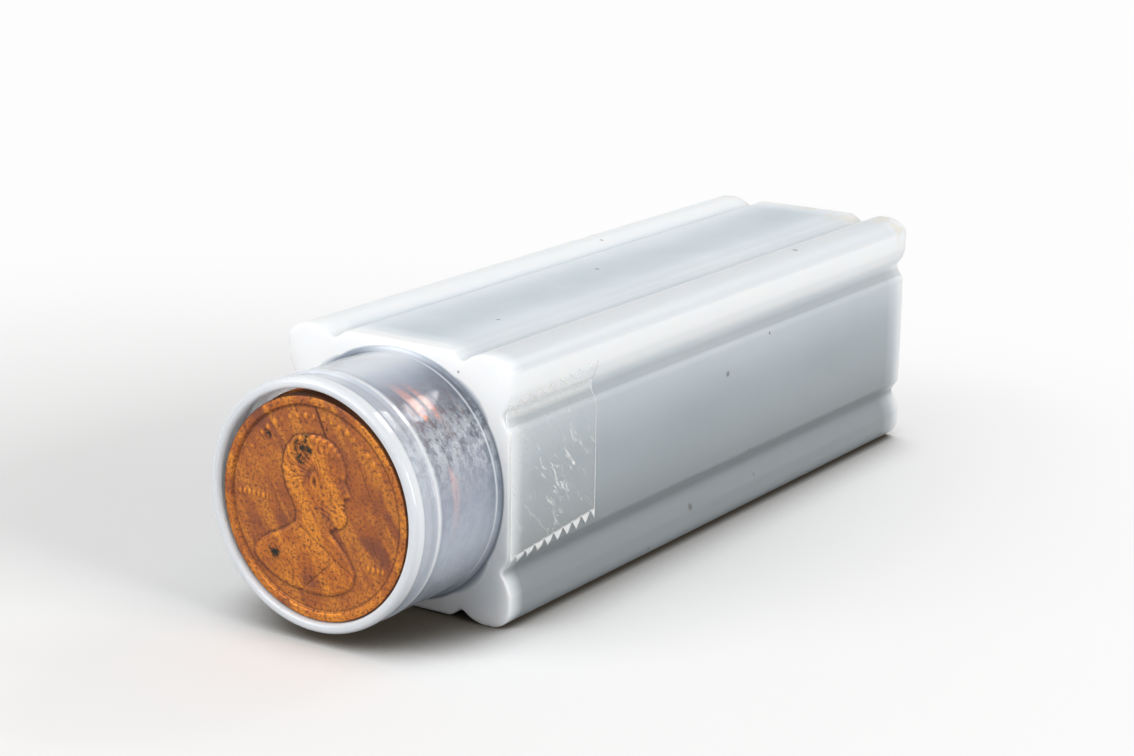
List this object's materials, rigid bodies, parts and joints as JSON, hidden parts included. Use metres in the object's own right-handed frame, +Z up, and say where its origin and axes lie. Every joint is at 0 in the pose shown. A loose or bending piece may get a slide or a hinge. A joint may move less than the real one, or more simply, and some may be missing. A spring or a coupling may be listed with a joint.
{
  "type": "coin tube",
  "caption": "Square translucent plastic coin tube with grooved sides, a round open neck for a cap and a full roll of copper coins that slides in its bore.",
  "frame": {"origin": "under the middle of the tube's whole length, on the surface that the tube lies on", "axes": "+Y along the bore from the open neck to the closed end, +Z up from the side that it lies on, +X to the side with the tape"},
  "size_m": [0.0234, 0.083, 0.0234],
  "materials": {
    "tube_plastic": "milky translucent polyethylene, lightly scuffed",
    "tape_film": "clear aged tape",
    "coin_copper": "worn copper with brown patina"
  },
  "bodies": {
    "tube": {"tube": "tube_plastic", "tape_strip": "tape_film"},
    "coin_01": {"coin_01": "coin_copper"},
    "coin_02": {"coin_02": "coin_copper"},
    "coin_03": {"coin_03": "coin_copper"},
    "coin_04": {"coin_04": "coin_copper"},
    "coin_05": {"coin_05": "coin_copper"},
    "coin_06": {"coin_06": "coin_copper"},
    "coin_07": {"coin_07": "coin_copper"},
    "coin_08": {"coin_08": "coin_copper"},
    "coin_09": {"coin_09": "coin_copper"},
    "coin_10": {"coin_10": "coin_copper"},
    "coin_11": {"coin_11": "coin_copper"},
    "coin_12": {"coin_12": "coin_copper"},
    "coin_13": {"coin_13": "coin_copper"},
    "coin_14": {"coin_14": "coin_copper"},
    "coin_15": {"coin_15": "coin_copper"},
    "coin_16": {"coin_16": "coin_copper"},
    "coin_17": {"coin_17": "coin_copper"},
    "coin_18": {"coin_18": "coin_copper"},
    "coin_19": {"coin_19": "coin_copper"},
    "coin_20": {"coin_20": "coin_copper"},
    "coin_21": {"coin_21": "coin_copper"},
    "coin_22": {"coin_22": "coin_copper"},
    "coin_23": {"coin_23": "coin_copper"},
    "coin_24": {"coin_24": "coin_copper"},
    "coin_25": {"coin_25": "coin_copper"},
    "coin_26": {"coin_26": "coin_copper"},
    "coin_27": {"coin_27": "coin_copper"},
    "coin_28": {"coin_28": "coin_copper"},
    "coin_29": {"coin_29": "coin_copper"},
    "coin_30": {"coin_30": "coin_copper"},
    "coin_31": {"coin_31": "coin_copper"},
    "coin_32": {"coin_32": "coin_copper"},
    "coin_33": {"coin_33": "coin_copper"},
    "coin_34": {"coin_34": "coin_copper"},
    "coin_35": {"coin_35": "coin_copper"},
    "coin_36": {"coin_36": "coin_copper"},
    "coin_37": {"coin_37": "coin_copper"},
    "coin_38": {"coin_38": "coin_copper"},
    "coin_39": {"coin_39": "coin_copper"},
    "coin_40": {"coin_40": "coin_copper"},
    "coin_41": {"coin_41": "coin_copper"},
    "coin_42": {"coin_42": "coin_copper"},
    "coin_43": {"coin_43": "coin_copper"},
    "coin_44": {"coin_44": "coin_copper"},
    "coin_45": {"coin_45": "coin_copper"},
    "coin_46": {"coin_46": "coin_copper"},
    "coin_47": {"coin_47": "coin_copper"},
    "coin_48": {"coin_48": "coin_copper"},
    "coin_49": {"coin_49": "coin_copper"},
    "coin_50": {"coin_50": "coin_copper"}
  },
  "joints": [
    {"name": "coin_01_slide", "type": "slide", "parent": "coin_02", "child": "coin_01", "axis": [0, -1, 0], "range_m": [0, 0.025]},
    {"name": "coin_50_slide", "type": "slide", "parent": "tube", "child": "coin_50", "axis": [0, -1, 0], "range_m": [0, 0.078]},
    {"name": "coin_02_slide", "type": "slide", "parent": "coin_03", "child": "coin_02", "axis": [0, -1, 0], "range_m": [0, 0.0015]},
    {"name": "coin_03_slide", "type": "slide", "parent": "coin_04", "child": "coin_03", "axis": [0, -1, 0], "range_m": [0, 0.0015]},
    {"name": "coin_04_slide", "type": "slide", "parent": "coin_05", "child": "coin_04", "axis": [0, -1, 0], "range_m": [0, 0.0015]},
    {"name": "coin_05_slide", "type": "slide", "parent": "coin_06", "child": "coin_05", "axis": [0, -1, 0], "range_m": [0, 0.0015]},
    {"name": "coin_06_slide", "type": "slide", "parent": "coin_07", "child": "coin_06", "axis": [0, -1, 0], "range_m": [0, 0.0015]},
    {"name": "coin_07_slide", "type": "slide", "parent": "coin_08", "child": "coin_07", "axis": [0, -1, 0], "range_m": [0, 0.0015]},
    {"name": "coin_08_slide", "type": "slide", "parent": "coin_09", "child": "coin_08", "axis": [0, -1, 0], "range_m": [0, 0.0015]},
    {"name": "coin_09_slide", "type": "slide", "parent": "coin_10", "child": "coin_09", "axis": [0, -1, 0], "range_m": [0, 0.0015]},
    {"name": "coin_10_slide", "type": "slide", "parent": "coin_11", "child": "coin_10", "axis": [0, -1, 0], "range_m": [0, 0.0015]},
    {"name": "coin_11_slide", "type": "slide", "parent": "coin_12", "child": "coin_11", "axis": [0, -1, 0], "range_m": [0, 0.0015]},
    {"name": "coin_12_slide", "type": "slide", "parent": "coin_13", "child": "coin_12", "axis": [0, -1, 0], "range_m": [0, 0.0015]},
    {"name": "coin_13_slide", "type": "slide", "parent": "coin_14", "child": "coin_13", "axis": [0, -1, 0], "range_m": [0, 0.0015]},
    {"name": "coin_14_slide", "type": "slide", "parent": "coin_15", "child": "coin_14", "axis": [0, -1, 0], "range_m": [0, 0.0015]},
    {"name": "coin_15_slide", "type": "slide", "parent": "coin_16", "child": "coin_15", "axis": [0, -1, 0], "range_m": [0, 0.0015]},
    {"name": "coin_16_slide", "type": "slide", "parent": "coin_17", "child": "coin_16", "axis": [0, -1, 0], "range_m": [0, 0.0015]},
    {"name": "coin_17_slide", "type": "slide", "parent": "coin_18", "child": "coin_17", "axis": [0, -1, 0], "range_m": [0, 0.0015]},
    {"name": "coin_18_slide", "type": "slide", "parent": "coin_19", "child": "coin_18", "axis": [0, -1, 0], "range_m": [0, 0.0015]},
    {"name": "coin_19_slide", "type": "slide", "parent": "coin_20", "child": "coin_19", "axis": [0, -1, 0], "range_m": [0, 0.0015]},
    {"name": "coin_20_slide", "type": "slide", "parent": "coin_21", "child": "coin_20", "axis": [0, -1, 0], "range_m": [0, 0.0015]},
    {"name": "coin_21_slide", "type": "slide", "parent": "coin_22", "child": "coin_21", "axis": [0, -1, 0], "range_m": [0, 0.0015]},
    {"name": "coin_22_slide", "type": "slide", "parent": "coin_23", "child": "coin_22", "axis": [0, -1, 0], "range_m": [0, 0.0015]},
    {"name": "coin_23_slide", "type": "slide", "parent": "coin_24", "child": "coin_23", "axis": [0, -1, 0], "range_m": [0, 0.0015]},
    {"name": "coin_24_slide", "type": "slide", "parent": "coin_25", "child": "coin_24", "axis": [0, -1, 0], "range_m": [0, 0.0015]},
    {"name": "coin_25_slide", "type": "slide", "parent": "coin_26", "child": "coin_25", "axis": [0, -1, 0], "range_m": [0, 0.0015]},
    {"name": "coin_26_slide", "type": "slide", "parent": "coin_27", "child": "coin_26", "axis": [0, -1, 0], "range_m": [0, 0.0015]},
    {"name": "coin_27_slide", "type": "slide", "parent": "coin_28", "child": "coin_27", "axis": [0, -1, 0], "range_m": [0, 0.0015]},
    {"name": "coin_28_slide", "type": "slide", "parent": "coin_29", "child": "coin_28", "axis": [0, -1, 0], "range_m": [0, 0.0015]},
    {"name": "coin_29_slide", "type": "slide", "parent": "coin_30", "child": "coin_29", "axis": [0, -1, 0], "range_m": [0, 0.0015]},
    {"name": "coin_30_slide", "type": "slide", "parent": "coin_31", "child": "coin_30", "axis": [0, -1, 0], "range_m": [0, 0.0015]},
    {"name": "coin_31_slide", "type": "slide", "parent": "coin_32", "child": "coin_31", "axis": [0, -1, 0], "range_m": [0, 0.0015]},
    {"name": "coin_32_slide", "type": "slide", "parent": "coin_33", "child": "coin_32", "axis": [0, -1, 0], "range_m": [0, 0.0015]},
    {"name": "coin_33_slide", "type": "slide", "parent": "coin_34", "child": "coin_33", "axis": [0, -1, 0], "range_m": [0, 0.0015]},
    {"name": "coin_34_slide", "type": "slide", "parent": "coin_35", "child": "coin_34", "axis": [0, -1, 0], "range_m": [0, 0.0015]},
    {"name": "coin_35_slide", "type": "slide", "parent": "coin_36", "child": "coin_35", "axis": [0, -1, 0], "range_m": [0, 0.0015]},
    {"name": "coin_36_slide", "type": "slide", "parent": "coin_37", "child": "coin_36", "axis": [0, -1, 0], "range_m": [0, 0.0015]},
    {"name": "coin_37_slide", "type": "slide", "parent": "coin_38", "child": "coin_37", "axis": [0, -1, 0], "range_m": [0, 0.0015]},
    {"name": "coin_38_slide", "type": "slide", "parent": "coin_39", "child": "coin_38", "axis": [0, -1, 0], "range_m": [0, 0.0015]},
    {"name": "coin_39_slide", "type": "slide", "parent": "coin_40", "child": "coin_39", "axis": [0, -1, 0], "range_m": [0, 0.0015]},
    {"name": "coin_40_slide", "type": "slide", "parent": "coin_41", "child": "coin_40", "axis": [0, -1, 0], "range_m": [0, 0.0015]},
    {"name": "coin_41_slide", "type": "slide", "parent": "coin_42", "child": "coin_41", "axis": [0, -1, 0], "range_m": [0, 0.0015]},
    {"name": "coin_42_slide", "type": "slide", "parent": "coin_43", "child": "coin_42", "axis": [0, -1, 0], "range_m": [0, 0.0015]},
    {"name": "coin_43_slide", "type": "slide", "parent": "coin_44", "child": "coin_43", "axis": [0, -1, 0], "range_m": [0, 0.0015]},
    {"name": "coin_44_slide", "type": "slide", "parent": "coin_45", "child": "coin_44", "axis": [0, -1, 0], "range_m": [0, 0.0015]},
    {"name": "coin_45_slide", "type": "slide", "parent": "coin_46", "child": "coin_45", "axis": [0, -1, 0], "range_m": [0, 0.0015]},
    {"name": "coin_46_slide", "type": "slide", "parent": "coin_47", "child": "coin_46", "axis": [0, -1, 0], "range_m": [0, 0.0015]},
    {"name": "coin_47_slide", "type": "slide", "parent": "coin_48", "child": "coin_47", "axis": [0, -1, 0], "range_m": [0, 0.0015]},
    {"name": "coin_48_slide", "type": "slide", "parent": "coin_49", "child": "coin_48", "axis": [0, -1, 0], "range_m": [0, 0.0015]},
    {"name": "coin_49_slide", "type": "slide", "parent": "coin_50", "child": "coin_49", "axis": [0, -1, 0], "range_m": [0, 0.0015]}
  ]
}
